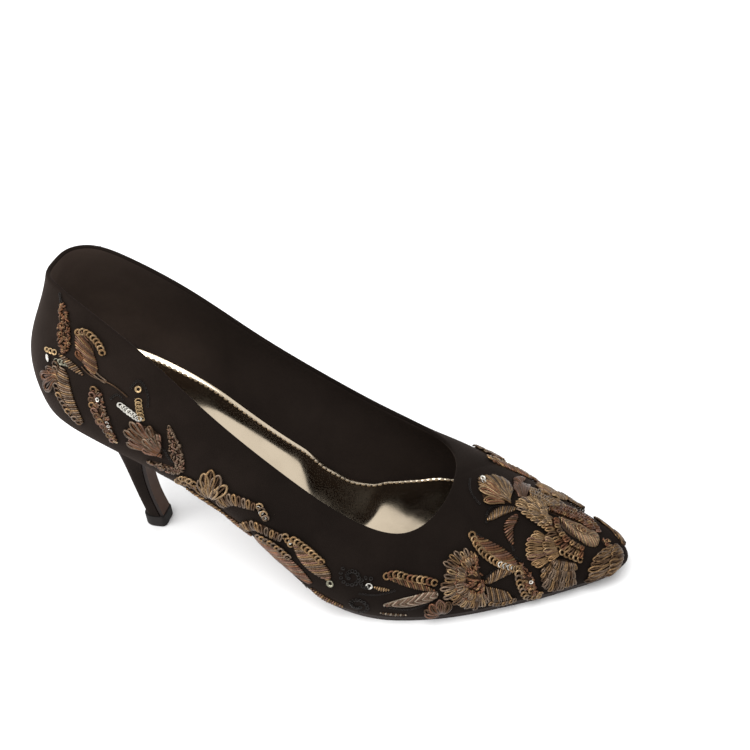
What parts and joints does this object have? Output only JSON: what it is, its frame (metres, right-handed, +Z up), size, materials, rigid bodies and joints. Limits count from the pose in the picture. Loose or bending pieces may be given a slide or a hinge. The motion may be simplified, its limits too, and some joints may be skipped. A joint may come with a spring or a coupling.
{
  "type": "high heel shoe",
  "caption": "Pointed court shoe for the right foot with a slim high heel, low-cut collar, dark velvet upper with metal-thread floral embroidery and a metallic leather insole.",
  "frame": {"origin": "centre of the shoe's bounding box in plan, on the floor plane that the heel and forefoot stand on", "axes": "+X toward the toe, +Y toward the inner side of the foot, +Z up"},
  "size_m": [0.2374, 0.0864, 0.1332],
  "materials": {
    "upper": "black velvet with copper, gold and silver metal-thread embroidery",
    "outsole": "dark brown smooth sole leather, carried down the breast of the heel",
    "heel": "black velvet covering",
    "top_piece": "hard black rubber, matte",
    "insole": "glossy pewter-gold metallic leather with a stitched edge"
  },
  "bodies": {
    "root": {"upper": "upper", "outsole": "outsole", "heel": "heel", "top_piece": "top_piece", "insole": "insole"}
  },
  "joints": []
}
